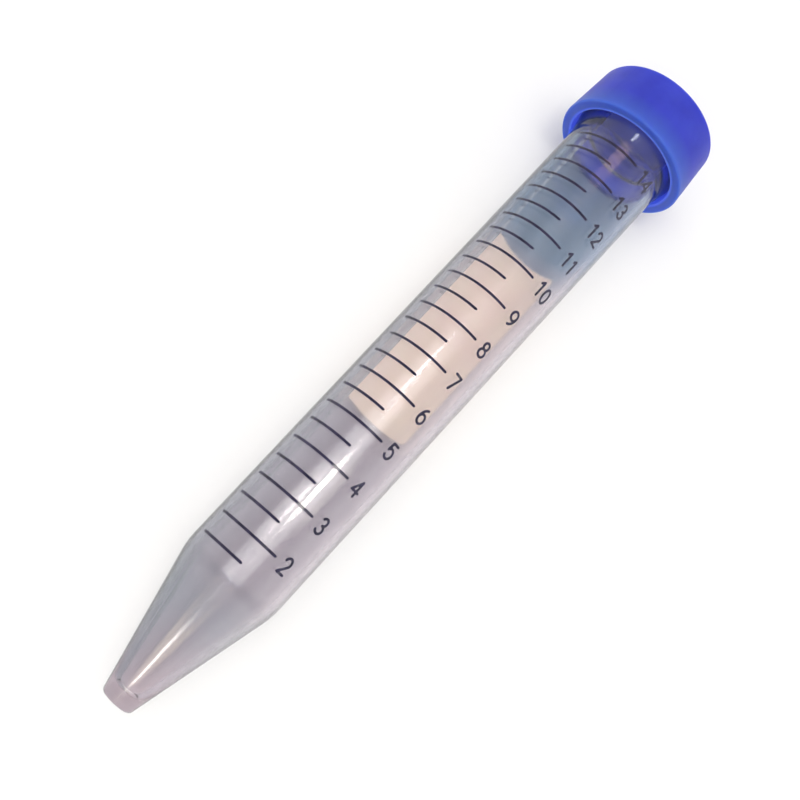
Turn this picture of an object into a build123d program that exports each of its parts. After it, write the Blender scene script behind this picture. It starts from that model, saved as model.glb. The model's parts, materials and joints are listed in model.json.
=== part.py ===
"""15 ml conical centrifuge tube with its screw cap, built as the moulded parts are.

Every piece is first built upright on the Z axis, with the outside of the tip at height 0.
The closed tube is then laid down as it comes to rest on a bench: the cap's rim and the
shoulder above the cone touch the bench, and the cap points along +X.
"""
from build123d import *
import math
import os

# ---------------------------------------------------------------- tube, millimetres
TUBE_LENGTH = 118.3           # outside of the tip to the lip of the neck
CONE_LENGTH = 21.6            # outside of the tip to the shoulder
TIP_DIAMETER = 4.9            # end of the cone, before its edge is rounded
TIP_DOME = 0.3                # how far the end bulges in its middle
TIP_EDGE_RADIUS = 0.7
BODY_BOTTOM_DIAMETER = 15.84  # at the shoulder
BODY_TOP_DIAMETER = 17.08     # where the neck's flare begins: the 17 mm of the tube's size
WALL = 1.27
TIP_FLOOR = 2.3               # solid plastic below the inside of the cone
INNER_TIP_RADIUS = 1.5        # rounding of the cone's inside at its floor
SHOULDER_RADIUS = 12.0        # outside rounding from the cone to the body
INNER_SHOULDER_RADIUS = 6.0

# ---------------------------------------------------------------- neck
NECK_LENGTH = 9.7             # start of the flare to the lip
FLARE_LENGTH = 3.9            # body to the collar under the thread
FLARE_ROUNDING = 2.5          # rounding where the flare leaves the body
COLLAR_RISE = 0.86            # how far the collar stands out from the body
COLLAR_WIDTH = 0.6
COLLAR_BEVEL = 0.4            # height of the bevel from the collar in to the neck
NECK_RISE = 0.06              # how far the plain neck under the thread stands out
LIP_RADIUS = 0.4              # rounding of the lip's outer edge
MOUTH_BEVEL = 0.3             # bevel of the lip's inner edge

# ---------------------------------------------------------------- screw thread
THREAD_PITCH = 2.5
THREAD_HEIGHT = 0.72
RIDGE_ROOT = 1.2              # width of a ridge where it meets the wall
RIDGE_CREST = 0.5
THREAD_CLEARANCE = 0.2        # radial, crest to the facing wall
THREAD_MARGIN = 0.3           # plain wall left at each end of a thread
FADE_ANGLE = 40.0             # degrees over which a ridge rises out of the wall
SECTION_STEP = 12.0           # degrees between the sections that shape a ridge
FEWEST_SECTIONS = 8           # in a ridge too short for that step
RIDGE_SINK = 0.3              # how deep a ridge starts inside its wall

# ---------------------------------------------------------------- cap and sealing disc
CAP_TOP_WALL = 1.2
CAP_HEIGHT = 9.6
SKIRT_WALL = 1.74             # at the rim
SKIRT_DRAFT = 3.6             # degrees that the skirt leans in towards the top
SKIRT_CLEARANCE = 0.25        # collar or thread to the inside of the skirt's mouth
RELIEF_CLEARANCE = 0.4        # the skirt's wider mouth ends this far above the collar
CAP_TOP_EDGE = 0.6
CAP_RIM_EDGE = 0.3
DISC_THICKNESS = 0.8
DISC_CLEARANCE = 0.25         # disc's edge to the inside of the cap

# ---------------------------------------------------------------- rest on the bench
SEAM_TURN = 135.0             # degrees about the axis: seams and thread starts keep clear of
                              # the line that the tube rests on

# ---------------------------------------------------------------- worked out from them
tip_radius = TIP_DIAMETER / 2
shoulder_radius = BODY_BOTTOM_DIAMETER / 2
body_top_radius = BODY_TOP_DIAMETER / 2
flare_start = TUBE_LENGTH - NECK_LENGTH
collar_bottom = flare_start + FLARE_LENGTH
collar_top = collar_bottom + COLLAR_WIDTH
bevel_top = collar_top + COLLAR_BEVEL
collar_radius = body_top_radius + COLLAR_RISE
neck_radius = body_top_radius + NECK_RISE
thread_radius = neck_radius + THREAD_HEIGHT
cone_slope = (shoulder_radius - tip_radius) / (CONE_LENGTH - TIP_DOME)
body_slope = (body_top_radius - shoulder_radius) / (flare_start - CONE_LENGTH)

disc_bottom = TUBE_LENGTH
disc_top = disc_bottom + DISC_THICKNESS
cap_top = disc_top + CAP_TOP_WALL
cap_rim = cap_top - CAP_HEIGHT
cap_bore_radius = thread_radius + THREAD_CLEARANCE
cap_crest_radius = neck_radius + THREAD_CLEARANCE
mouth_radius = max(collar_radius, thread_radius) + SKIRT_CLEARANCE
rim_radius = mouth_radius + SKIRT_WALL
cap_top_radius = rim_radius - CAP_HEIGHT * math.tan(math.radians(SKIRT_DRAFT))
disc_radius = cap_bore_radius - DISC_CLEARANCE


def wall_across(slope):
    """The wall's thickness measured square to the axis, where the wall leans by this slope."""
    return WALL * math.hypot(1, slope)


def corner(sketch, radius, height):
    """The outline's corner nearest to this radius and height."""
    return sketch.vertices().sort_by_distance(Vector(radius, 0, height))[0]


def tube_outside():
    """The tube's outer form: tip, cone, body, flare, collar and plain neck."""
    end = TangentArc((0, 0, 0), (tip_radius, 0, TIP_DOME), tangent=(1, 0, 0))
    sides = Polyline([
        (tip_radius, 0, TIP_DOME),
        (shoulder_radius, 0, CONE_LENGTH),
        (body_top_radius, 0, flare_start),
        (collar_radius, 0, collar_bottom),
        (collar_radius, 0, collar_top),
        (neck_radius, 0, bevel_top),
        (neck_radius, 0, TUBE_LENGTH),
        (0, 0, TUBE_LENGTH),
        (0, 0, 0),
    ])
    face = make_face(end + sides)
    face = fillet(corner(face, tip_radius, TIP_DOME), TIP_EDGE_RADIUS)
    face = fillet(corner(face, shoulder_radius, CONE_LENGTH), SHOULDER_RADIUS)
    face = fillet(corner(face, body_top_radius, flare_start), FLARE_ROUNDING)
    face = fillet(corner(face, neck_radius, TUBE_LENGTH), LIP_RADIUS)
    return revolve(face, Axis.Z)


def tube_inside():
    """The space inside the tube, from the floor of the cone to the lip."""
    cone_wall = wall_across(cone_slope)
    body_wall = wall_across(body_slope)
    # radii that the inner cone and the inner body would have at height 0
    cone_start = tip_radius - cone_wall - cone_slope * TIP_DOME
    body_start = shoulder_radius - body_wall - body_slope * CONE_LENGTH
    floor_radius = cone_start + cone_slope * TIP_FLOOR
    # the two meet where both give the same radius
    meet = (body_start - cone_start) / (cone_slope - body_slope)
    meet_radius = cone_start + cone_slope * meet
    bore_top = body_start + body_slope * TUBE_LENGTH
    points = [
        (0, 0, TIP_FLOOR),
        (floor_radius, 0, TIP_FLOOR),
        (meet_radius, 0, meet),
        (bore_top, 0, TUBE_LENGTH),
        (0, 0, TUBE_LENGTH),
    ]
    face = make_face(Polyline(points, close=True))
    face = fillet(corner(face, floor_radius, TIP_FLOOR), INNER_TIP_RADIUS)
    face = fillet(corner(face, meet_radius, meet), INNER_SHOULDER_RADIUS)
    space = revolve(face, Axis.Z)
    to_lip = (Align.CENTER, Align.CENTER, Align.MAX)
    mouth = Cone(bore_top, bore_top + MOUTH_BEVEL, MOUTH_BEVEL, align=to_lip)
    return space + Pos(0, 0, TUBE_LENGTH) * mouth


def ridge(wall_radius, crest_radius, bottom, top, phase):
    """A helical ridge on a round wall, from height bottom to height top, with faded ends.

    crest_radius is larger than wall_radius on the neck and smaller in the cap.
    phase is the direction, in degrees, that the ridge has at height 0.
    """
    outward = 1 if crest_radius > wall_radius else -1
    half_root, half_crest = RIDGE_ROOT / 2, RIDGE_CREST / 2
    low, high = bottom + half_root, top - half_root
    turn = 360 * (high - low) / THREAD_PITCH
    steps = max(FEWEST_SECTIONS, round(turn / SECTION_STEP))
    inside = wall_radius - outward * RIDGE_SINK
    sections = []
    for step in range(steps + 1):
        along = turn * step / steps
        height = low + THREAD_PITCH * along / 360
        direction = math.radians(phase + 360 * height / THREAD_PITCH)
        # the ends fade to a crest that lies under the wall's surface
        risen = min(1, along / FADE_ANGLE, (turn - along) / FADE_ANGLE)
        start = wall_radius - outward * RIDGE_SINK / 2
        crest = start + (crest_radius - start) * math.sin(risen * math.pi / 2)
        plane = Plane(
            origin=(0, 0, height),
            x_dir=(math.cos(direction), math.sin(direction), 0),
            z_dir=(math.sin(direction), -math.cos(direction), 0),
        )
        corners = [
            (inside, -half_root),
            (crest, -half_crest),
            (crest, half_crest),
            (inside, half_root),
        ]
        sections.append(plane * make_face(Polyline(corners, close=True)))
    return loft(sections)


def make_tube():
    """The tube: one polypropylene moulding with the male thread on its neck."""
    low = bevel_top + THREAD_MARGIN
    high = TUBE_LENGTH - LIP_RADIUS - THREAD_MARGIN
    thread = ridge(neck_radius, thread_radius, low, high, phase=0)
    return tube_outside() + thread - tube_inside()


def make_sealing_disc():
    """The loose elastomer disc between the cap's ceiling and the lip."""
    seated = (Align.CENTER, Align.CENTER, Align.MIN)
    return Pos(0, 0, disc_bottom) * Cylinder(disc_radius, DISC_THICKNESS, align=seated)


def make_cap():
    """The cap: a smooth skirt with a little draft, a flat top and the female thread."""
    outside = make_face(Polyline([
        (0, 0, cap_rim),
        (rim_radius, 0, cap_rim),
        (cap_top_radius, 0, cap_top),
        (0, 0, cap_top),
    ], close=True))
    outside = fillet(corner(outside, rim_radius, cap_rim), CAP_RIM_EDGE)
    outside = fillet(corner(outside, cap_top_radius, cap_top), CAP_TOP_EDGE)
    relief_top = collar_top + RELIEF_CLEARANCE
    inside = make_face(Polyline([
        (0, 0, cap_rim),
        (mouth_radius, 0, cap_rim),
        (mouth_radius, 0, relief_top),
        (cap_bore_radius, 0, relief_top + mouth_radius - cap_bore_radius),
        (cap_bore_radius, 0, disc_top),
        (0, 0, disc_top),
    ], close=True))
    low = bevel_top + THREAD_MARGIN
    high = disc_bottom - THREAD_MARGIN
    # half a turn from the neck's ridge, so that each ridge runs in the other's groove
    thread = ridge(cap_bore_radius, cap_crest_radius, low, high, phase=180)
    return revolve(outside, Axis.Z) - revolve(inside, Axis.Z) + thread


def resting_lean():
    """How far the axis leans from level, in degrees, when the closed tube lies on a bench.

    The bench touches two rounded edges: the shoulder above the cone and the cap's rim.
    """
    shoulder_bend = math.atan(cone_slope) - math.atan(body_slope)
    # the shoulder's rounding starts this far up the cone, and its centre is square to the cone
    reach = SHOULDER_RADIUS * math.tan(shoulder_bend / 2)
    cone_angle = math.atan(cone_slope)
    centre_height = (
        CONE_LENGTH - reach * math.cos(cone_angle) + SHOULDER_RADIUS * math.sin(cone_angle)
    )
    centre_radius = (
        shoulder_radius - reach * math.sin(cone_angle) - SHOULDER_RADIUS * math.cos(cone_angle)
    )
    draft = math.radians(SKIRT_DRAFT)
    rim_height = cap_rim + CAP_RIM_EDGE
    rim_centre_radius = rim_radius - CAP_RIM_EDGE * (math.tan(draft) + 1 / math.cos(draft))
    along, out = rim_height - centre_height, rim_centre_radius - centre_radius
    bend = math.asin((SHOULDER_RADIUS - CAP_RIM_EDGE) / math.hypot(along, out))
    return math.degrees(math.atan2(out, along) - bend)


def laid_down(pieces):
    """The pieces turned from upright to their rest on a bench, with the cap towards +X."""
    to_rest = Rot(0, 90 - resting_lean(), 0) * Rot(0, 0, SEAM_TURN)
    turned = {name: to_rest * piece for name, piece in pieces.items()}
    box = Compound(list(turned.values())).bounding_box()
    to_origin = Pos(-box.center().X, 0, -box.min.Z)
    return {name: to_origin * piece for name, piece in turned.items()}


def main():
    """Build every piece and write it to its own file."""
    os.makedirs("parts", exist_ok=True)
    pieces = laid_down({
        "tube": make_tube(),
        "sealing_disc": make_sealing_disc(),
        "cap": make_cap(),
    })
    for name, piece in pieces.items():
        export_step(piece, f"parts/{name}.step")
    print("axis leans", round(resting_lean(), 3), "degrees")


if __name__ == "__main__":
    main()
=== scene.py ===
"""Looks of a capped 15 ml conical tube: a clear printed tube, a sealing disc and a blue screw cap.

Everything is placed along the tube's own axis: a height is measured from the outside of the tip towards
the cap, and an angle is measured round the axis from the side that faces up.
"""
import json
import math
import bmesh
import bpy
from bpy.props import FloatProperty, FloatVectorProperty, IntProperty, PointerProperty
from mathutils import Matrix, Vector
from mathutils.bvhtree import BVHTree
from mathutils.geometry import delaunay_2d_cdt


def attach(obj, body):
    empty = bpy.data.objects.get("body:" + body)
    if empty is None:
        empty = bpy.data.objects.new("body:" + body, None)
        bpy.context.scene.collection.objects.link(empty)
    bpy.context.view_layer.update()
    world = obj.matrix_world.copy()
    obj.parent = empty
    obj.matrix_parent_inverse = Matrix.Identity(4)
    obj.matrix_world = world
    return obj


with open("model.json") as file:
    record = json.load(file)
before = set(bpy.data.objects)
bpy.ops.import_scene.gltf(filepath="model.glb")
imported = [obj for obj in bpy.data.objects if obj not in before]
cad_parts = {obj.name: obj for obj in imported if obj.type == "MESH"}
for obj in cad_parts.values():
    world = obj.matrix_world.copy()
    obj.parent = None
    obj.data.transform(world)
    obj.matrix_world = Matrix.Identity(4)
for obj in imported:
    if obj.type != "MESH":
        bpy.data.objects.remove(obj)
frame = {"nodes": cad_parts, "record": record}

bl_info = {
    "name": "Conical Tube Looks",
    "version": (1, 0, 0),
    "blender": (4, 5, 0),
    "location": "View3D > Sidebar > Conical Tube",
    "description": "Finishes, print and stage for a capped 15 ml conical tube",
    "category": "Object",
}

MM = 0.001
ML = 1e-6

# How the tube's mesh is read.
BEYOND_TUBE = 20 * MM  # further from the axis than any part of the tube
SLICE = 0.25 * MM  # thickness of the slices that the bore's volume is added up from
BORE_ANGLES = tuple(math.radians(a) for a in (10, 100, 190, 280))

# How finely the print is divided.
LINE_STEP = math.radians(1)
LINE_END_STEPS = (0.02, 0.15, 0.4, 0.7, 1)
PATCH_STEPS = 60
CORNER_STEPS = 8

# Heights in millimetres from the tip, between which one painted shade of the wall gives way to the next.
TIP_TO_SHOULDER = (4, 15)
SHOULDER_TO_BODY = (17, 24)
BODY_TO_NECK = (83, 93)
COVERED_FLANKS = (107.5, 109.5)
COVERED_UNDERSIDE = (109.5, 111.5)
RING_STARTS = (19.6, 20.3)
RING_ENDS = (23.2, 21.2)
DEEP_NECK = (88, 98)
TIP_END = (1.4, 0.8)
PAINTED_EDGE_STARTS = (1, 3)
CONE_WALL = (6, 16)
BODY_WALL = (30, 90)

# Cosines and sines of the angle round the axis, between which the wall's painted shades and its coat come in.
LEFT_FLANK = (0.3, -0.3)
LEFT_UNDERSIDE = (0.25, -1.0)
NECK_SIDES = (0.15, 0.6)
UNDERSIDE = (-0.26, -0.50)
BELOW_TOP = (0.75, 0.50)
TOP = (0.7, 0.9)

# The wall's other measures: millimetres off its middle, share of the painted shade at the tip's end, and
# where the painted dark edge comes in as the wall is seen edge-on.
SKIN = (-0.3, 0.3)
END_PAINTED_SHADE = 0.8
PAINTED_EDGE_FACING = (0.62, 0.75)
PAINTED_EDGE_SHARES = (1.0, 0.45)
TOP_COAT = 0.3
UNDER_AXIS = (0, -3)
CLEAR_SHADOW = (0.98, 0.98, 0.98, 1)

# Heights and radii in millimetres where the cap takes on its painted lighter blue at the rim and its painted
# glow inside.
RIM_PAINTED_LIGHT = (114.5, 110.8)
RIM_PAINTED_LIGHT_SHARE = 0.8
MOUTH = (114.5, 111.5)
MOUTH_PAINTED_GLOW = (0.4, 1.0)
CAP_WALL = (10.2, 9.8)
RIM_EDGE = (111.8, 110.9)
RIM_PAINTED_GLOW = 0.12

# The stage, in metres. A strength of 1 is white.
FLOOR_DROP = 0.02 * MM
FLOOR_LIFT = 0.085
FLOOR_FADE = (0.15, 0.5)
WORLD_LEVEL = 0.62
CEILING = (0.35, 0.80)
CEILING_LEVELS = (1.0, 0.35)
LAMP_DISTANCE = 0.5
FILL_DISTANCE = 1.1
SENSOR_WIDTH = 36


# ------------------------------------------------------------------ the tube's own frame
def mount_of(name):
    """The record's mount with this name."""
    return next(m for m in frame["record"]["mounts"] if m["name"] == name)


CAP_END = Vector(mount_of("cap_top")["pos_m"])
AXIS = Vector(mount_of("cap_top")["axis"]).normalized()
UPWARD = (Vector((0, 0, 1)) - AXIS * AXIS.z).normalized()
SIDEWAYS = AXIS.cross(UPWARD)
TIP = CAP_END + AXIS * min((v.co - CAP_END).dot(AXIS) for v in frame["nodes"]["tube"].data.vertices)
TUBE_SURFACE = BVHTree.FromPolygons(
    [v.co for v in frame["nodes"]["tube"].data.vertices],
    [p.vertices for p in frame["nodes"]["tube"].data.polygons],
)


def outward(angle):
    """The direction square to the axis at this angle from the side that faces up."""
    return UPWARD * math.cos(angle) + SIDEWAYS * math.sin(angle)


def place(height, angle, radius):
    """The point at this height from the tip, angle round the axis and distance from it."""
    return TIP + AXIS * height + outward(angle) * radius


def outer_radius(height, angle):
    """The tube's outer radius there, from the frame's own mesh."""
    start = place(height, angle, BEYOND_TUBE)
    hit = TUBE_SURFACE.ray_cast(start, -outward(angle))[0]
    if hit is None:
        raise RuntimeError(f"the tube has no surface at height {height}")
    return (hit - TIP).dot(outward(angle))


def inner_radius(height, angle):
    """The tube's inner radius there, or 0 below the floor of the cone."""
    hit, normal, _, distance = TUBE_SURFACE.ray_cast(place(height, 0, 0), outward(angle))
    return distance if hit is not None and normal.dot(outward(angle)) < 0 else 0.0


def height_of_volumes(volumes, top):
    """The height that each volume of liquid reaches in the upright tube."""
    heights, filled, level = [], 0.0, SLICE / 2
    wanted = list(volumes)
    while wanted and level < top:
        area = math.pi * sum(inner_radius(level, a) ** 2 for a in BORE_ANGLES) / len(BORE_ANGLES)
        while wanted and area > 0 and filled + area * SLICE >= wanted[0]:
            heights.append(level - SLICE / 2 + (wanted.pop(0) - filled) / area)
        filled += area * SLICE
        level += SLICE
    if wanted:
        raise RuntimeError("the tube is too small for its graduations")
    return heights


# ------------------------------------------------------------------ sizes and colours
class PrintSizes(bpy.types.PropertyGroup):
    """Sizes and places of what is printed on the tube."""

    line_width: FloatProperty(
        name="Line width", description="Width of a graduation line",
        default=0.40 * MM, min=0.05 * MM, max=1 * MM, unit="LENGTH")
    ink_thickness: FloatProperty(
        name="Ink thickness", description="How far the ink stands proud of the plastic",
        default=0.015 * MM, min=0.005 * MM, max=0.05 * MM, unit="LENGTH")
    ink_depth: FloatProperty(
        name="Ink depth", description="How far the ink is keyed into the plastic",
        default=0.02 * MM, min=0.005 * MM, max=0.05 * MM, unit="LENGTH")
    first_volume: FloatProperty(
        name="First volume", description="Lowest graduation, in millilitres", default=1.5, min=0.5, max=14)
    last_volume: IntProperty(
        name="Last volume", description="Highest graduation, in millilitres", default=14, min=2, max=14)
    lines_start: FloatProperty(
        name="Lines start", description="Angle at which every graduation line starts",
        default=math.radians(-61), subtype="ANGLE")
    half_line_end: FloatProperty(
        name="Half-ml lines end", description="Angle at which a half-millilitre line ends",
        default=math.radians(-1.2), subtype="ANGLE")
    full_line_end: FloatProperty(
        name="Millilitre lines end", description="Angle at which a millilitre line ends",
        default=math.radians(19), subtype="ANGLE")
    number_start: FloatProperty(
        name="Numbers start", description="Angle at which every number starts",
        default=math.radians(28), subtype="ANGLE")
    digit_height: FloatProperty(
        name="Digit height", description="Height of the digits",
        default=2.42 * MM, min=1 * MM, max=4 * MM, unit="LENGTH")
    digit_width: FloatProperty(
        name="Digit width", description="Width of a digit",
        default=1.35 * MM, min=0.5 * MM, max=3 * MM, unit="LENGTH")
    digit_advance: FloatProperty(
        name="Digit advance", description="Distance from one digit to the next",
        default=1.75 * MM, min=0.5 * MM, max=4 * MM, unit="LENGTH")
    stroke_width: FloatProperty(
        name="Stroke width", description="Width of the digits' strokes",
        default=0.40 * MM, min=0.05 * MM, max=1 * MM, unit="LENGTH")
    patch_half_angle: FloatProperty(
        name="Patch half angle", description="How far the patch reaches each way from the underside",
        default=math.radians(53), subtype="ANGLE")
    patch_low_volume: FloatProperty(
        name="Patch starts", description="Volume at the patch's lower end, in millilitres", default=5.62)
    patch_high_volume: FloatProperty(
        name="Patch ends", description="Volume at the patch's upper end, in millilitres", default=11.25)
    patch_corner: FloatProperty(
        name="Patch corner", description="Radius of the writing patch's corners",
        default=1.0 * MM, min=0, max=4 * MM, unit="LENGTH")


def colour(name, description, default):
    """A colour property in linear values."""
    return FloatVectorProperty(
        name=name, description=description, default=default, size=4, min=0, max=1, subtype="COLOR")


class FinishColours(bpy.types.PropertyGroup):
    """Colours of the finishes, with the painted shade, painted dark edge, painted rim light and painted glow
    that stand in for light and shade.
    """

    plastic: colour("Plastic", "Tint of the clear wall", (0.98, 0.97, 0.98, 1))
    # The underside, side, ring, neck and left shades below are painted shade: darker, tinted tones on rays
    # that leave the wall's underside and flanks, standing in for the shade and dark surroundings seen through
    # the clear wall.
    tip_low: colour("Tip, underside", "Shade under the tip", (0.25, 0.17, 0.212, 1))
    shoulder_low: colour("Shoulder, underside", "Shade under the cone's top", (0.172, 0.167, 0.218, 1))
    body_low: colour("Body, underside", "Shade under the body", (0.262, 0.212, 0.268, 1))
    neck_low: colour("Neck, underside", "Shade under the neck", (0.047, 0.103, 0.205, 1))
    covered_low: colour("Covered, underside", "Shade under the neck inside the cap", (0.45, 0.50, 0.60, 1))
    tip_side: colour("Tip, side", "Shade beside the tip", (0.24, 0.19, 0.24, 1))
    shoulder_side: colour("Shoulder, side", "Shade beside the cone's top", (0.24, 0.23, 0.27, 1))
    body_side: colour("Body, side", "Shade beside the body", (0.40, 0.34, 0.40, 1))
    neck_side: colour("Neck, side", "Shade beside the neck", (0.115, 0.165, 0.285, 1))
    covered_side: colour("Covered, side", "Shade beside the neck inside the cap", (0.30, 0.36, 0.60, 1))
    shoulder_ring: colour("Shoulder ring", "Deepens the shade where the cone starts", (0.74, 0.73, 0.76, 1))
    neck_deep: colour("Neck, lower sides", "Deepens the neck's shade off its middle", (0.66, 0.70, 0.76, 1))
    left_side: colour("Left side", "Deepens the shade beside the lines' starts", (0.30, 0.37, 0.40, 1))
    left_low: colour("Left underside", "Deepens the shade under the lines' starts", (0.44, 0.53, 0.59, 1))
    # Painted dark edge: the wall is darkened where it is seen edge-on, standing in for the dark lines that
    # refraction puts at the wall's silhouettes.
    edge: colour("Edge", "Tint of the plastic where it is seen edge-on", (0.02, 0.02, 0.03, 1))
    shadow: colour("Shadow", "Light that the underside lets through to the floor", (0.45, 0.45, 0.48, 1))
    cap: colour("Cap", "Blue of the screw cap", (0.053, 0.070, 0.52, 1))
    cap_drift: colour("Cap drift", "What the cap's blue drifts to", (0.044, 0.055, 0.46, 1))
    # Painted light: a lighter, more cyan blue near the skirt's rim, where the rim catches light.
    cap_rim: colour("Cap rim", "Blue of the skirt's rim", (0.074, 0.145, 0.50, 1))
    # Painted glow: an emission that stands in for light coming through the skirt.
    cap_glow: colour("Cap glow", "Light that comes through the cap's skirt", (0.030, 0.050, 0.40, 1))
    ink: colour("Ink", "Dark ink of the graduations", (0.012, 0.010, 0.030, 1))
    ink_thin: colour("Thin ink", "Where the dark ink printed thinner", (0.035, 0.030, 0.070, 1))
    patch: colour("Writing patch", "White ink of the writing patch", (0.925, 0.80, 0.70, 1))
    patch_drift: colour("Patch drift", "What the white ink drifts to", (0.915, 0.76, 0.70, 1))
    disc: colour("Sealing disc", "Blue elastomer", (0.10, 0.13, 0.60, 1))
    disc_drift: colour("Disc drift", "What the elastomer drifts to", (0.09, 0.11, 0.52, 1))


class StageSizes(bpy.types.PropertyGroup):
    """Camera and floor."""

    camera_height: FloatProperty(
        name="Camera height", description="Camera's place along the axis, from the tip",
        default=22.13 * MM, unit="LENGTH")
    camera_distance: FloatProperty(
        name="Camera distance", description="Camera's distance from the axis",
        default=134.73 * MM, unit="LENGTH")
    camera_pitch: FloatProperty(
        name="Camera pitch", description="How far the view leans towards the cap",
        default=math.radians(14.385), subtype="ANGLE")
    camera_yaw: FloatProperty(
        name="Camera yaw", description="How far the view leans sideways",
        default=math.radians(0.208), subtype="ANGLE")
    camera_roll: FloatProperty(
        name="Camera roll", description="How far the cap's end turns clockwise from the top of the view",
        default=math.radians(42.77), subtype="ANGLE")
    focal_length: FloatProperty(
        name="Focal length", description="On a 36 mm sensor, in millimetres", default=42.67)
    floor_size: FloatProperty(
        name="Floor size", description="Side of the floor", default=3.0, unit="LENGTH")


# ------------------------------------------------------------------ mesh helpers
def finished_mesh(bm, name, body, material):
    """A new object from the bmesh that rides on this body and takes its finish from this slot."""
    bmesh.ops.recalc_face_normals(bm, faces=bm.faces)
    mesh = bpy.data.meshes.new(name)
    bm.to_mesh(mesh)
    bm.free()
    piece = bpy.data.objects.new(name, mesh)
    bpy.context.scene.collection.objects.link(piece)
    mesh.materials.append(material)
    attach(piece, body)
    return piece


def ring_solid(bm, sections):
    """A closed solid through these sections, each a ring of as many points."""
    rings = [[bm.verts.new(p) for p in section] for section in sections]
    count = len(rings[0])
    for one, two in zip(rings, rings[1:]):
        for i in range(count):
            j = (i + 1) % count
            bm.faces.new((one[i], one[j], two[j], two[i]))
    bm.faces.new(rings[0])
    bm.faces.new(rings[-1])


def ink_section(low, high, angle, sizes):
    """The four corners of an ink film between two heights at this angle."""
    corners = []
    for height, proud in ((low, False), (low, True), (high, True), (high, False)):
        radius = outer_radius(height, angle)
        radius += sizes.ink_thickness if proud else -sizes.ink_depth
        corners.append(place(height, angle, radius))
    return corners


def printed_line(bm, height, start, end, sizes):
    """One graduation line round the tube, with rounded ends."""
    half = sizes.line_width / 2
    radius = outer_radius(height, start)
    rounding = half / radius
    ends = [rounding * s for s in LINE_END_STEPS]
    count = max(2, round((end - start - 2 * rounding) / LINE_STEP))
    inner = [start + rounding + (end - start - 2 * rounding) * i / count for i in range(1, count)]
    angles = [start + e for e in ends] + inner + [end - e for e in reversed(ends)]
    sections = []
    for angle in angles:
        gap = min(angle - start, end - angle, rounding) / rounding
        reach = half * math.sqrt(1 - (1 - gap) ** 2)
        sections.append(ink_section(height - reach, height + reach, angle, sizes))
    ring_solid(bm, sections)


# ------------------------------------------------------------------ digits
def bow(x, y, across, up, start, end, steps=20):
    """Points of an elliptic arc about (x, y) from angle start to end, in degrees."""
    turn = [math.radians(start + (end - start) * i / steps) for i in range(steps + 1)]
    return [(x + across * math.cos(t), y + up * math.sin(t)) for t in turn]


GENTLE_TURN = math.radians(25)
ROUND_SIDES = 36
UNION_TOLERANCE = 1e-4

SIX = [bow(0.5, 0.31, 0.46, 0.31, 180, -180, 32), bow(0.86, 0.33, 0.82, 0.67, 180, 104, 14)]
DIGITS = {
    "0": [bow(0.5, 0.5, 0.46, 0.5, 0, 360, 36)],
    "1": [[(0.22, 0.80), (0.56, 1.0), (0.56, 0.0)]],
    "2": [bow(0.5, 0.71, 0.42, 0.29, 165, -32, 18) + [(0.05, 0.0), (0.96, 0.0)]],
    "3": [bow(0.46, 0.765, 0.36, 0.235, 150, -90, 18), bow(0.46, 0.265, 0.44, 0.265, 90, -155, 20)],
    "4": [[(0.72, 0.0), (0.72, 1.0), (0.02, 0.30), (1.0, 0.30)]],
    "5": [[(0.90, 1.0), (0.22, 1.0), (0.12, 0.53)] + bow(0.48, 0.33, 0.46, 0.33, 128, -150, 22)],
    "6": SIX,
    "7": [[(0.04, 1.0), (0.96, 1.0), (0.34, 0.0)]],
    "8": [bow(0.5, 0.765, 0.36, 0.235, -90, 270, 28), bow(0.5, 0.27, 0.46, 0.27, 90, 450, 32)],
    "9": [[(1 - x, 1 - y) for x, y in stroke] for stroke in SIX],
}


def stroke_shapes(points, width):
    """Convex shapes that make up a stroke of this width along the points, with round ends and corners."""
    points = [Vector(p) for p in points]
    ways = [(b - a).normalized() for a, b in zip(points, points[1:])]
    closed = (points[0] - points[-1]).length < width / 100
    half = width / 2

    def edge(way, neighbour):
        """Half the stroke's width, leaned to meet the neighbour's where the turn between them is gentle."""
        square = Vector((-way.y, way.x))
        if neighbour is None or way.angle(neighbour) > GENTLE_TURN:
            return square * half
        lean = (way + neighbour).normalized()
        lean = Vector((-lean.y, lean.x))
        return lean * (half / lean.dot(square))

    shapes = []
    for i, way in enumerate(ways):
        before = ways[i - 1] if i > 0 or closed else None
        after = ways[i + 1] if i + 1 < len(ways) else (ways[0] if closed else None)
        start, end = edge(way, before), edge(way, after)
        shapes.append([points[i] - start, points[i + 1] - end, points[i + 1] + end, points[i] + start])
        for point, neighbour in ((points[i], before), (points[i + 1], after)):
            if neighbour is None or way.angle(neighbour) > GENTLE_TURN:
                shapes.append([point + Vector(p) for p in bow(0, 0, half, half, 0, 350, ROUND_SIDES - 1)])
    return shapes


def holds(shape, point):
    """True if the point is inside this convex shape, whose corners run counterclockwise."""
    return all((b - a).cross(point - a) >= 0 for a, b in zip(shape, shape[1:] + shape[:1]))


def flat_union(shapes):
    """Points and triangles of the union of these flat convex shapes."""
    points = [point for shape in shapes for point in shape]
    edges, start = [], 0
    for shape in shapes:
        count = len(shape)
        edges.extend((start + i, start + (i + 1) % count) for i in range(count))
        start += count
    points, _, triangles, *_ = delaunay_2d_cdt(points, edges, [], 0, UNION_TOLERANCE)
    middles = [sum((points[i] for i in triangle), Vector((0, 0))) / len(triangle) for triangle in triangles]
    inside = [t for t, middle in zip(triangles, middles) if any(holds(shape, middle) for shape in shapes)]
    return points, inside


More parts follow.
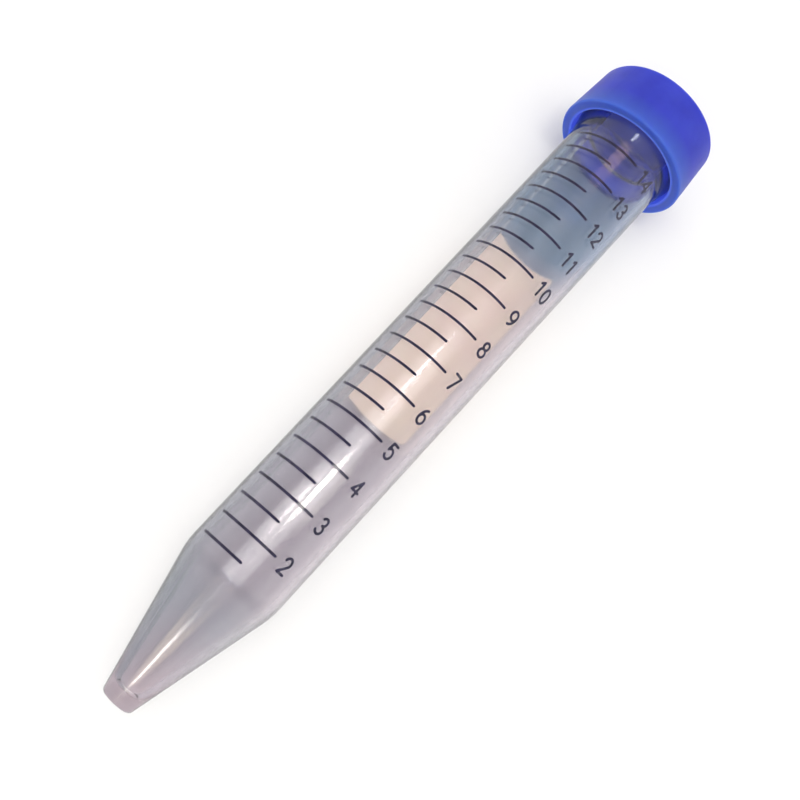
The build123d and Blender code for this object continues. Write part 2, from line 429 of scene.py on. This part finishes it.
def printed_number(bm, text, height, sizes):
    """A number that starts at the numbers' angle and stands level with its line."""
    shapes = []
    width, tall = sizes.digit_width / MM, sizes.digit_height / MM
    for i, digit in enumerate(text):
        shift = i * sizes.digit_advance / MM
        for stroke in DIGITS[digit]:
            points = [(x * width + shift, (y - 0.5) * tall) for x, y in stroke]
            shapes.extend(stroke_shapes(points, sizes.stroke_width / MM))
    points, triangles = flat_union(shapes)
    radius = outer_radius(height, sizes.number_start)
    layers = []
    for proud in (sizes.ink_thickness, -sizes.ink_depth):
        layer = []
        for point in points:
            angle = sizes.number_start + point.x * MM / radius
            level = height + point.y * MM
            layer.append(bm.verts.new(place(level, angle, outer_radius(level, angle) + proud)))
        layers.append(layer)
    top, bottom = layers
    borders = {}
    for triangle in triangles:
        bm.faces.new([top[i] for i in triangle])
        bm.faces.new([bottom[i] for i in reversed(triangle)])
        for i, j in zip(triangle, triangle[1:] + triangle[:1]):
            borders[(i, j)] = True
    for i, j in borders:
        if (j, i) not in borders:
            bm.faces.new((top[j], top[i], bottom[i], bottom[j]))
    bmesh.ops.delete(bm, geom=[v for v in bm.verts if not v.link_faces], context="VERTS")


# ------------------------------------------------------------------ node helpers
def shader_group(name, inputs, outputs):
    """A new shader node group with these sockets, with its input and output nodes."""
    group = bpy.data.node_groups.new(name, "ShaderNodeTree")
    for label, kind, value in inputs:
        socket = group.interface.new_socket(label, in_out="INPUT", socket_type="NodeSocket" + kind)
        socket.default_value = value
    for label, kind in outputs:
        group.interface.new_socket(label, in_out="OUTPUT", socket_type="NodeSocket" + kind)
    return group, group.nodes.new("NodeGroupInput"), group.nodes.new("NodeGroupOutput")


def node(tree, kind, **settings):
    """A new node with these settings."""
    made = tree.nodes.new("ShaderNode" + kind)
    for key, value in settings.items():
        setattr(made, key, value)
    return made


def maths(tree, operation, first, second=None):
    """A Math node's output. Each input is a socket or a number."""
    made = node(tree, "Math", operation=operation)
    for socket, value in zip(made.inputs, (first, second)):
        if isinstance(value, bpy.types.NodeSocket):
            tree.links.new(value, socket)
        elif value is not None:
            socket.default_value = value
    return made.outputs[0]


def ranged(tree, value, from_low, from_high, to_low=0, to_high=1):
    """The value mapped from one range to another, held at its ends."""
    made = node(tree, "MapRange")
    for socket, number in zip(made.inputs[1:5], (from_low, from_high, to_low, to_high)):
        if isinstance(number, bpy.types.NodeSocket):
            tree.links.new(number, socket)
        else:
            socket.default_value = number
    tree.links.new(value, made.inputs[0])
    return made.outputs[0]


def mixed(tree, share, first, second, blend="MIX"):
    """A colour mixed from two, which are sockets or colours."""
    made = node(tree, "Mix", data_type="RGBA", blend_type=blend)
    colours = [s for s in made.inputs if s.type == "RGBA"]
    tree.links.new(share, made.inputs[0])
    for socket, value in zip(colours, (first, second)):
        if isinstance(value, bpy.types.NodeSocket):
            tree.links.new(value, socket)
        else:
            socket.default_value = value
    return next(s for s in made.outputs if s.type == "RGBA")


def axis_coordinates():
    """Group: millimetres with Z along the axis, the distance from it, and the angle's cosine and sine."""
    numbers = [(name, "Float") for name in ("Height", "Radius", "Upward", "Sideways")]
    group, _, out = shader_group("axis coordinates", [], [("Vector", "Vector"), *numbers])
    here = node(group, "TexCoord")
    shift = node(group, "VectorMath", operation="SUBTRACT")
    shift.inputs[1].default_value = TIP
    group.links.new(here.outputs["Object"], shift.inputs[0])
    parts = []
    for direction in (UPWARD, SIDEWAYS, AXIS):
        dot = node(group, "VectorMath", operation="DOT_PRODUCT")
        dot.inputs[1].default_value = direction / MM
        group.links.new(shift.outputs[0], dot.inputs[0])
        parts.append(dot.outputs["Value"])
    join = node(group, "CombineXYZ")
    for part, socket in zip(parts, join.inputs):
        group.links.new(part, socket)
    squares = [maths(group, "MULTIPLY", part, part) for part in parts[:2]]
    radius = maths(group, "SQRT", maths(group, "ADD", *squares))
    group.links.new(join.outputs[0], out.inputs["Vector"])
    group.links.new(parts[2], out.inputs["Height"])
    group.links.new(radius, out.inputs["Radius"])
    for part, name in zip(parts, ("Upward", "Sideways")):
        group.links.new(maths(group, "DIVIDE", part, radius), out.inputs[name])
    return group


def placed(tree, group):
    """A node that holds this group."""
    made = node(tree, "Group")
    made.node_tree = group
    return made


def melt_drift(coordinates):
    """Group: a colour that drifts softly to another, as in a moulded or printed film."""
    group, given, out = shader_group(
        "melt drift",
        [("Colour", "Color", (1, 1, 1, 1)), ("Drift Colour", "Color", (1, 1, 1, 1)), ("Scale", "Float", 0.3)],
        [("Color", "Color")],
    )
    where = placed(group, coordinates)
    noise = node(group, "TexNoise")
    noise.inputs["Detail"].default_value = 3
    group.links.new(where.outputs["Vector"], noise.inputs["Vector"])
    group.links.new(given.outputs["Scale"], noise.inputs["Scale"])
    mask = ranged(group, noise.outputs["Fac"], 0.35, 0.65)
    colour_out = mixed(group, mask, given.outputs["Colour"], given.outputs["Drift Colour"])
    group.links.new(colour_out, out.inputs["Color"])
    return group


def handling_marks(coordinates):
    """Group: hair scratches and a faint unevenness, as a height and as a roughness."""
    group, given, out = shader_group(
        "handling marks",
        [("Smooth Roughness", "Float", 0.1), ("Scratched Roughness", "Float", 0.3), ("Scale", "Float", 0.5)],
        [("Height", "Float"), ("Roughness", "Float")],
    )
    where = placed(group, coordinates)
    lines = []
    for stretch in ((1.0, 1.0, 0.12), (0.25, 1.0, 0.9)):
        mapping = node(group, "Mapping")
        mapping.inputs["Scale"].default_value = stretch
        group.links.new(where.outputs["Vector"], mapping.inputs["Vector"])
        noise = node(group, "TexNoise")
        noise.inputs["Detail"].default_value = 2
        group.links.new(mapping.outputs[0], noise.inputs["Vector"])
        group.links.new(given.outputs["Scale"], noise.inputs["Scale"])
        away = maths(group, "ABSOLUTE", maths(group, "SUBTRACT", noise.outputs["Fac"], 0.5))
        lines.append(ranged(group, away, 0.0, 0.006, 1, 0))
    scratches = maths(group, "MAXIMUM", *lines)
    broken = node(group, "TexNoise")
    broken.inputs["Scale"].default_value = 0.35
    group.links.new(where.outputs["Vector"], broken.inputs["Vector"])
    kept = maths(group, "MULTIPLY", scratches, ranged(group, broken.outputs["Fac"], 0.5, 0.62))
    rough = ranged(group, kept, 0, 1, given.outputs["Smooth Roughness"], given.outputs["Scratched Roughness"])
    group.links.new(maths(group, "MULTIPLY", kept, -1.0), out.inputs["Height"])
    group.links.new(rough, out.inputs["Roughness"])
    return group


def effects():
    """The shared node groups by name, made once."""
    if "axis coordinates" not in bpy.data.node_groups:
        coordinates = axis_coordinates()
        melt_drift(coordinates)
        handling_marks(coordinates)
    return bpy.data.node_groups


def new_material(name):
    """A new material with its node tree, its Principled shader and its output node."""
    material = bpy.data.materials.new(name)
    material.use_nodes = True
    tree = material.node_tree
    return material, tree, tree.nodes["Principled BSDF"], tree.nodes["Material Output"]


def add_drift(tree, shader, colour_one, colour_two, scale):
    """Drives the shader's colour by the melt drift group."""
    drift = placed(tree, effects()["melt drift"])
    drift.inputs["Colour"].default_value = colour_one
    drift.inputs["Drift Colour"].default_value = colour_two
    drift.inputs["Scale"].default_value = scale
    tree.links.new(drift.outputs["Color"], shader.inputs["Base Color"])
    return drift


def add_marks(tree, shader, smooth, scratched, scale, depth):
    """Drives the shader's roughness and normal by the handling marks group."""
    marks = placed(tree, effects()["handling marks"])
    marks.inputs["Smooth Roughness"].default_value = smooth
    marks.inputs["Scratched Roughness"].default_value = scratched
    marks.inputs["Scale"].default_value = scale
    bump = node(tree, "Bump")
    bump.inputs["Distance"].default_value = depth
    tree.links.new(marks.outputs["Height"], bump.inputs["Height"])
    tree.links.new(marks.outputs["Roughness"], shader.inputs["Roughness"])
    tree.links.new(bump.outputs[0], shader.inputs["Normal"])


# ------------------------------------------------------------------ finishes
def middle_of_wall(tree, height):
    """The radius of the wall's middle at this height: the nearer of the cone's line and the body's."""
    lines = []
    for low, high in (CONE_WALL, BODY_WALL):
        radii = [(outer_radius(h * MM, 0) + inner_radius(h * MM, 0)) / 2 / MM for h in (low, high)]
        slope = (radii[1] - radii[0]) / (high - low)
        lines.append(maths(tree, "ADD", maths(tree, "MULTIPLY", height, slope), radii[0] - slope * low))
    return maths(tree, "MINIMUM", *lines)


def along_tube(tree, height, colours, side, covered_from):
    """A painted shade that changes along the tube, through this side's five from the tip to inside the cap.
    """
    shade = getattr(colours, "tip_" + side)
    steps = (TIP_TO_SHOULDER, SHOULDER_TO_BODY, BODY_TO_NECK, covered_from)
    for part, step in zip(("shoulder", "body", "neck", "covered"), steps):
        shade = mixed(tree, ranged(tree, height, *step), shade, getattr(colours, f"{part}_{side}"))
    return shade


def outer_skin(tree, where):
    """1 on the tube's outer skin and 0 on its inner one."""
    height = where.outputs["Height"]
    beyond = maths(tree, "SUBTRACT", where.outputs["Radius"], middle_of_wall(tree, height))
    return maths(tree, "MAXIMUM", ranged(tree, beyond, *SKIN), ranged(tree, height, *TIP_END))


def wall_tint(tree, colours):
    """The plastic's tint, nearly clear, with a painted shade on rays that leave through the outer skin below
    the top: darker, tinted tones along the tube, beside and under it, standing in for the shade and dark
    surroundings seen through the wall.
    """
    where = placed(tree, effects()["axis coordinates"])
    height, upward, sideways = (where.outputs[name] for name in ("Height", "Upward", "Sideways"))

    # Painted shade along the flanks and under the tube, deeper on the left, in a ring at the shoulder and on
    # the neck's lower sides.
    flanks = along_tube(tree, height, colours, "side", COVERED_FLANKS)
    flanks = mixed(tree, ranged(tree, sideways, *LEFT_FLANK), flanks, colours.left_side, "MULTIPLY")
    low = along_tube(tree, height, colours, "low", COVERED_UNDERSIDE)
    low = mixed(tree, ranged(tree, sideways, *LEFT_UNDERSIDE), low, colours.left_low, "MULTIPLY")
    ring = maths(tree, "MINIMUM", ranged(tree, height, *RING_STARTS), ranged(tree, height, *RING_ENDS))
    low = mixed(tree, ring, low, colours.shoulder_ring, "MULTIPLY")
    off_middle = ranged(tree, maths(tree, "ABSOLUTE", sideways), *NECK_SIDES)
    deep = maths(tree, "MULTIPLY", off_middle, ranged(tree, height, *DEEP_NECK))
    low = mixed(tree, deep, low, colours.neck_deep, "MULTIPLY")

    # Painted shade on the tip's solid end too; it goes only on rays that leave through the outer skin below
    # the top.
    end = ranged(tree, height, *TIP_END, 0, END_PAINTED_SHADE)
    shade = mixed(tree, maths(tree, "MAXIMUM", ranged(tree, upward, *UNDERSIDE), end), flanks, low)
    skin = outer_skin(tree, where)
    below = maths(tree, "MAXIMUM", ranged(tree, upward, *BELOW_TOP), end)
    leaving = maths(tree, "MULTIPLY", skin, node(tree, "NewGeometry").outputs["Backfacing"])
    tint = mixed(tree, maths(tree, "MULTIPLY", below, leaving), colours.plastic, shade)

    # Painted dark edge where the wall is seen edge-on, stronger on the left.
    weight = node(tree, "LayerWeight")
    weight.inputs["Blend"].default_value = 0.5
    most = ranged(tree, sideways, -1, 1, *PAINTED_EDGE_SHARES)
    edge = ranged(tree, weight.outputs["Facing"], *PAINTED_EDGE_FACING, 0, most)
    edge = maths(tree, "MULTIPLY", maths(tree, "MULTIPLY", edge, skin), ranged(tree, height, *PAINTED_EDGE_STARTS))
    return mixed(tree, edge, tint, colours.edge)


def shadow_tint(tree, colours):
    """What the wall leaves of a lamp's light, which is less where a ray comes up through its underside."""
    here = node(tree, "TexCoord")
    shift = node(tree, "VectorMath", operation="SUBTRACT")
    shift.inputs[1].default_value = TIP
    tree.links.new(here.outputs["Object"], shift.inputs[0])
    above = node(tree, "VectorMath", operation="DOT_PRODUCT")
    above.inputs[1].default_value = UPWARD / MM
    tree.links.new(shift.outputs[0], above.inputs[0])
    entering = maths(tree, "SUBTRACT", 1.0, node(tree, "NewGeometry").outputs["Backfacing"])
    share = maths(tree, "MULTIPLY", ranged(tree, above.outputs["Value"], *UNDER_AXIS), entering)
    return mixed(tree, share, CLEAR_SHADOW, colours.shadow)


def clear_plastic(colours):
    """Clear polypropylene that lets lamps through to what is behind it, with a painted shade in its colour
    where rays leave its underside and flanks.
    """
    material, tree, shader, output = new_material("clear polypropylene")
    tree.links.new(wall_tint(tree, colours), shader.inputs["Base Color"])
    shader.inputs["IOR"].default_value = 1.49
    shader.inputs["Transmission Weight"].default_value = 0.99
    where = placed(tree, effects()["axis coordinates"])
    coat = ranged(tree, where.outputs["Upward"], *TOP, 0, TOP_COAT)
    tree.links.new(coat, shader.inputs["Coat Weight"])
    shader.inputs["Coat Roughness"].default_value = 0.25
    add_marks(tree, shader, 0.10, 0.22, 0.6, 0.0015 * MM)
    path = node(tree, "LightPath")
    clear = node(tree, "BsdfTransparent")
    tree.links.new(shadow_tint(tree, colours), clear.inputs["Color"])
    mix = node(tree, "MixShader")
    tree.links.new(path.outputs["Is Shadow Ray"], mix.inputs[0])
    tree.links.new(shader.outputs[0], mix.inputs[1])
    tree.links.new(clear.outputs[0], mix.inputs[2])
    tree.links.new(mix.outputs[0], output.inputs["Surface"])
    return material


def cap_plastic(colours):
    """Satin blue polyethylene that carries light under its skin, with a painted lighter blue at the rim and a
    painted glow, an emission inside the skirt and on the rim's edge that stands in for light coming through
    the skirt.
    """
    material, tree, shader, _ = new_material("blue polyethylene")
    drift = add_drift(tree, shader, colours.cap, colours.cap_drift, 0.22)
    where = placed(tree, effects()["axis coordinates"])
    height = where.outputs["Height"]
    # Painted light: the blue turns lighter towards the skirt's rim.
    painted_rim_light = ranged(tree, height, *RIM_PAINTED_LIGHT, 0, RIM_PAINTED_LIGHT_SHARE)
    blue = mixed(tree, painted_rim_light, drift.outputs["Color"], colours.cap_rim)
    tree.links.new(blue, shader.inputs["Base Color"])
    # Painted glow: an emission inside the skirt's mouth and along the rim's edge, though the cap is no lamp.
    mouth = ranged(tree, height, *MOUTH, *MOUTH_PAINTED_GLOW)
    inside = maths(tree, "MULTIPLY", ranged(tree, where.outputs["Radius"], *CAP_WALL), mouth)
    rim = ranged(tree, height, *RIM_EDGE, 0, RIM_PAINTED_GLOW)
    glow = mixed(tree, maths(tree, "MAXIMUM", inside, rim), (0, 0, 0, 1), colours.cap_glow)
    tree.links.new(glow, shader.inputs["Emission Color"])
    shader.inputs["Emission Strength"].default_value = 1.0
    add_marks(tree, shader, 0.42, 0.52, 0.5, 0.006 * MM)
    shader.inputs["IOR"].default_value = 1.51
    shader.inputs["Specular IOR Level"].default_value = 0.12
    shader.inputs["Subsurface Weight"].default_value = 1.0
    shader.inputs["Subsurface Radius"].default_value = (0.25, 0.45, 1.0)
    shader.inputs["Subsurface Scale"].default_value = 5 * MM
    return material


def elastomer(colours):
    """Matt blue elastomer."""
    material, tree, shader, _ = new_material("blue elastomer")
    add_drift(tree, shader, colours.disc, colours.disc_drift, 0.6)
    add_marks(tree, shader, 0.62, 0.75, 0.8, 0.01 * MM)
    return material


def dark_ink(colours):
    """Satin dark ink that printed thinner in places."""
    material, tree, shader, _ = new_material("dark ink")
    add_drift(tree, shader, colours.ink, colours.ink_thin, 0.9)
    add_marks(tree, shader, 0.16, 0.3, 1.2, 0.002 * MM)
    return material


def white_ink(colours):
    """The writing patch's matt white ink."""
    material, tree, shader, _ = new_material("white ink")
    add_drift(tree, shader, colours.patch, colours.patch_drift, 0.16)
    add_marks(tree, shader, 0.55, 0.7, 0.7, 0.004 * MM)
    return material


def finish_node(name, material):
    """Gives a CAD node this material in every slot."""
    mesh = frame["nodes"][name].data
    mesh.materials.clear()
    mesh.materials.append(material)


# ------------------------------------------------------------------ operators
class TUBE_OT_finish_tube(bpy.types.Operator):
    """Give the tube its clear plastic"""

    bl_idname = "conical_tube.finish_tube"
    bl_label = "Finish tube"

    def execute(self, context):
        finish_node("tube", clear_plastic(context.scene.tube_colours))
        return {"FINISHED"}


class TUBE_OT_finish_cap(bpy.types.Operator):
    """Give the cap its blue plastic and the sealing disc its elastomer"""

    bl_idname = "conical_tube.finish_cap"
    bl_label = "Finish cap and disc"

    def execute(self, context):
        finish_node("cap", cap_plastic(context.scene.tube_colours))
        finish_node("sealing_disc", elastomer(context.scene.tube_colours))
        return {"FINISHED"}


class TUBE_OT_print_graduations(bpy.types.Operator):
    """Print the graduation lines and their numbers on the tube"""

    bl_idname = "conical_tube.print_graduations"
    bl_label = "Print graduations"

    def execute(self, context):
        sizes = context.scene.tube_print
        ink = dark_ink(context.scene.tube_colours)
        count = round(2 * (sizes.last_volume - sizes.first_volume)) + 1
        volumes = [sizes.first_volume + 0.5 * i for i in range(count)]
        heights = height_of_volumes([v * ML for v in volumes], (CAP_END - TIP).dot(AXIS))
        halves, fulls, numbers = bmesh.new(), bmesh.new(), bmesh.new()
        for volume, height in zip(volumes, heights):
            if volume == int(volume):
                printed_line(fulls, height, sizes.lines_start, sizes.full_line_end, sizes)
                printed_number(numbers, str(int(volume)), height, sizes)
            else:
                printed_line(halves, height, sizes.lines_start, sizes.half_line_end, sizes)
        finished_mesh(halves, "half_millilitre_lines", "tube", ink)
        finished_mesh(fulls, "millilitre_lines", "tube", ink)
        finished_mesh(numbers, "volume_numbers", "tube", ink)
        return {"FINISHED"}


class TUBE_OT_print_patch(bpy.types.Operator):
    """Print the white writing patch on the tube's underside"""

    bl_idname = "conical_tube.print_patch"
    bl_label = "Print writing patch"

    def execute(self, context):
        sizes = context.scene.tube_print
        volumes = (sizes.patch_low_volume * ML, sizes.patch_high_volume * ML)
        low, high = height_of_volumes(volumes, (CAP_END - TIP).dot(AXIS))
        radius = outer_radius((low + high) / 2, math.pi)
        reach = sizes.patch_half_angle
        corner = sizes.patch_corner / radius
        turns = [-math.cos(math.pi / 2 * i / CORNER_STEPS) for i in range(CORNER_STEPS + 1)]
        edge = [-reach + corner * (1 + t) for t in turns]
        middle = [-reach + corner + 2 * (reach - corner) * i / PATCH_STEPS for i in range(1, PATCH_STEPS)]
        sections = []
        for turn in edge + middle + [-e for e in reversed(edge)]:
            share = min(1.0, (reach - abs(turn)) / corner)
            inset = sizes.patch_corner * (1 - math.sqrt(max(0.0, 1 - (1 - share) ** 2)))
            sections.append(ink_section(low + inset, high - inset, math.pi + turn, sizes))
        bm = bmesh.new()
        ring_solid(bm, sections)
        finished_mesh(bm, "writing_patch", "tube", white_ink(context.scene.tube_colours))
        return {"FINISHED"}


def softbox(name, power, size, location, target, tint=(1, 1, 1)):
    """A rectangular soft lamp, given as its width across the tube and its length along it."""
    data = bpy.data.lights.new(name, "AREA")
    data.shape = "RECTANGLE"
    data.size, data.size_y = size
    data.energy = power
    data.color = tint
    back = (location - target).normalized()
    along = (AXIS - back * AXIS.dot(back)).normalized()
    turned = Matrix((along.cross(back), along, back)).transposed().to_4x4()
    lamp = bpy.data.objects.new(name, data)
    lamp.matrix_world = Matrix.Translation(location) @ turned
    bpy.context.scene.collection.objects.link(lamp)
    return lamp


def seen_rays(tree):
    """1 for rays from the camera, and for what gloss and glass show of the surroundings."""
    path = node(tree, "LightPath")
    glossy = maths(tree, "MAXIMUM", path.outputs["Is Camera Ray"], path.outputs["Is Glossy Ray"])
    return maths(tree, "MAXIMUM", glossy, path.outputs["Is Transmission Ray"])


def pale_floor():
    """Matt floor that reads as white where nothing shades it, and fades to plain white far off."""
    material, tree, shader, output = new_material("pale floor")
    shader.inputs["Base Color"].default_value = (0.85, 0.85, 0.85, 1)
    shader.inputs["Roughness"].default_value = 0.9
    shader.inputs["Specular IOR Level"].default_value = 0.0
    seen = seen_rays(tree)
    near = node(tree, "Emission")
    tree.links.new(maths(tree, "MULTIPLY", seen, FLOOR_LIFT), near.inputs["Strength"])
    far = node(tree, "Emission")
    tree.links.new(seen, far.inputs["Strength"])
    both = node(tree, "AddShader")
    tree.links.new(shader.outputs[0], both.inputs[0])
    tree.links.new(near.outputs[0], both.inputs[1])
    here = node(tree, "TexCoord")
    away = node(tree, "VectorMath", operation="LENGTH")
    tree.links.new(here.outputs["Object"], away.inputs[0])
    mix = node(tree, "MixShader")
    tree.links.new(ranged(tree, away.outputs["Value"], *FLOOR_FADE), mix.inputs[0])
    tree.links.new(both.outputs[0], mix.inputs[1])
    tree.links.new(far.outputs[0], mix.inputs[2])
    tree.links.new(mix.outputs[0], output.inputs["Surface"])
    return material


class TUBE_OT_make_stage(bpy.types.Operator):
    """Make the floor, the lamps, the world and the camera"""

    bl_idname = "conical_tube.make_stage"
    bl_label = "Make stage"

    def execute(self, context):
        stage = context.scene.tube_stage
        self.make_floor(stage)
        self.make_world(context)
        self.make_lamps()
        self.make_camera(context, stage)
        context.scene.view_settings.view_transform = "Standard"
        return {"FINISHED"}

    def make_floor(self, stage):
        half = stage.floor_size / 2
        bm = bmesh.new()
        signs = ((-1, -1), (1, -1), (1, 1), (-1, 1))
        bm.faces.new([bm.verts.new((x * half, y * half, 0)) for x, y in signs])
        mesh = bpy.data.meshes.new("floor")
        bm.to_mesh(mesh)
        bm.free()
        floor = bpy.data.objects.new("floor", mesh)
        floor.location.z = -FLOOR_DROP
        bpy.context.scene.collection.objects.link(floor)
        mesh.materials.append(pale_floor())

    def make_world(self, context):
        world = bpy.data.worlds.new("studio")
        world.use_nodes = True
        context.scene.world = world
        tree = world.node_tree
        background = tree.nodes["Background"]
        background.inputs["Color"].default_value = (1, 1, 1, 1)
        parts = node(tree, "SeparateXYZ")
        tree.links.new(node(tree, "TexCoord").outputs["Generated"], parts.inputs[0])
        ceiling = ranged(tree, parts.outputs["Z"], *CEILING, *CEILING_LEVELS)
        level = ranged(tree, seen_rays(tree), 0, 1, WORLD_LEVEL, ceiling)
        tree.links.new(level, background.inputs["Strength"])

    def make_lamps(self):
        warm = (1.0, 0.95, 0.88)
        body = place(45 * MM, 0, 0)
        over_body = place(93 * MM, math.radians(8), LAMP_DISTANCE)
        softbox("body softbox", 0.26, (0.080, 0.045), over_body, body, warm)
        beside_body = place(93 * MM, math.radians(20), LAMP_DISTANCE)
        softbox("body glow", 0.13, (0.34, 0.050), beside_body, body, warm)

        tip = place(8 * MM, 0, 0)
        over_tip = place(-340 * MM, 0, LAMP_DISTANCE)
        softbox("cone softbox", 0.18, (0.10, 0.050), over_tip, tip, (1.0, 0.93, 0.82))
        softbox("cone glow", 0.17, (0.50, 0.050), over_tip, tip, (1.0, 0.80, 0.45))

        neck = place(105 * MM, 0, 0)
        over_cap = place(420 * MM, math.radians(-4), LAMP_DISTANCE)
        softbox("neck softbox", 0.045, (0.22, 0.020), over_cap, neck, (1.0, 0.62, 0.52))
        over_neck = place(200 * MM, math.radians(-4), LAMP_DISTANCE)
        softbox("flare softbox", 0.07, (0.05, 0.040), over_neck, neck, (0.85, 0.92, 1.0))

        over_all, middle = place(70 * MM, 0, FILL_DISTANCE), place(60 * MM, 0, 0)
        fill = softbox("fill softbox", 5.0, (1.2, 0.8), over_all, middle, (0.97, 0.98, 1.0))
        fill.visible_glossy = False

    def make_camera(self, context, stage):
        data = bpy.data.cameras.new("camera")
        data.sensor_width = SENSOR_WIDTH
        data.lens = stage.focal_length
        data.clip_start, data.clip_end = 0.005, 20
        camera = bpy.data.objects.new("camera", data)
        context.scene.collection.objects.link(camera)
        lean = math.sin(stage.camera_pitch) * AXIS - math.cos(stage.camera_pitch) * UPWARD
        forward = (lean + math.tan(stage.camera_yaw) * SIDEWAYS).normalized()
        to_cap = (AXIS - forward * AXIS.dot(forward)).normalized()
        right = forward.cross(to_cap)
        up = to_cap * math.cos(stage.camera_roll) - right * math.sin(stage.camera_roll)
        right = forward.cross(up)
        turned = Matrix((right, up, -forward)).transposed().to_4x4()
        spot = TIP + AXIS * stage.camera_height + UPWARD * stage.camera_distance
        camera.matrix_world = Matrix.Translation(spot) @ turned
        context.scene.camera = camera


class TUBE_PT_looks(bpy.types.Panel):
    """The tube's sizes, colours and steps in the 3D view's sidebar"""

    bl_label = "Conical Tube"
    bl_idname = "TUBE_PT_looks"
    bl_space_type = "VIEW_3D"
    bl_region_type = "UI"
    bl_category = "Conical Tube"

    def draw(self, context):
        for operator in OPERATORS:
            self.layout.operator(operator.bl_idname)
        for group in (context.scene.tube_print, context.scene.tube_colours, context.scene.tube_stage):
            for name in group.__annotations__:
                self.layout.prop(group, name)


OPERATORS = (
    TUBE_OT_finish_tube,
    TUBE_OT_finish_cap,
    TUBE_OT_print_graduations,
    TUBE_OT_print_patch,
    TUBE_OT_make_stage,
)
CLASSES = (PrintSizes, FinishColours, StageSizes, *OPERATORS, TUBE_PT_looks)


def register():
    """Register the classes and hang the sizes and colours on the scene."""
    for cls in CLASSES:
        bpy.utils.register_class(cls)
    bpy.types.Scene.tube_print = PointerProperty(type=PrintSizes)
    bpy.types.Scene.tube_colours = PointerProperty(type=FinishColours)
    bpy.types.Scene.tube_stage = PointerProperty(type=StageSizes)


def unregister():
    """Undo register."""
    del bpy.types.Scene.tube_stage
    del bpy.types.Scene.tube_colours
    del bpy.types.Scene.tube_print
    for cls in reversed(CLASSES):
        bpy.utils.unregister_class(cls)


def corners(box):
    """A box's two corners as plain lists of numbers."""
    return [list(corner) for corner in box]


def main():
    """Build the looks in order."""
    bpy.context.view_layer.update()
    register()
    bpy.ops.conical_tube.finish_tube()
    bpy.ops.conical_tube.finish_cap()
    bpy.ops.conical_tube.print_graduations()
    bpy.ops.conical_tube.print_patch()
    bpy.ops.conical_tube.make_stage()


if __name__ == "__main__":
    main()
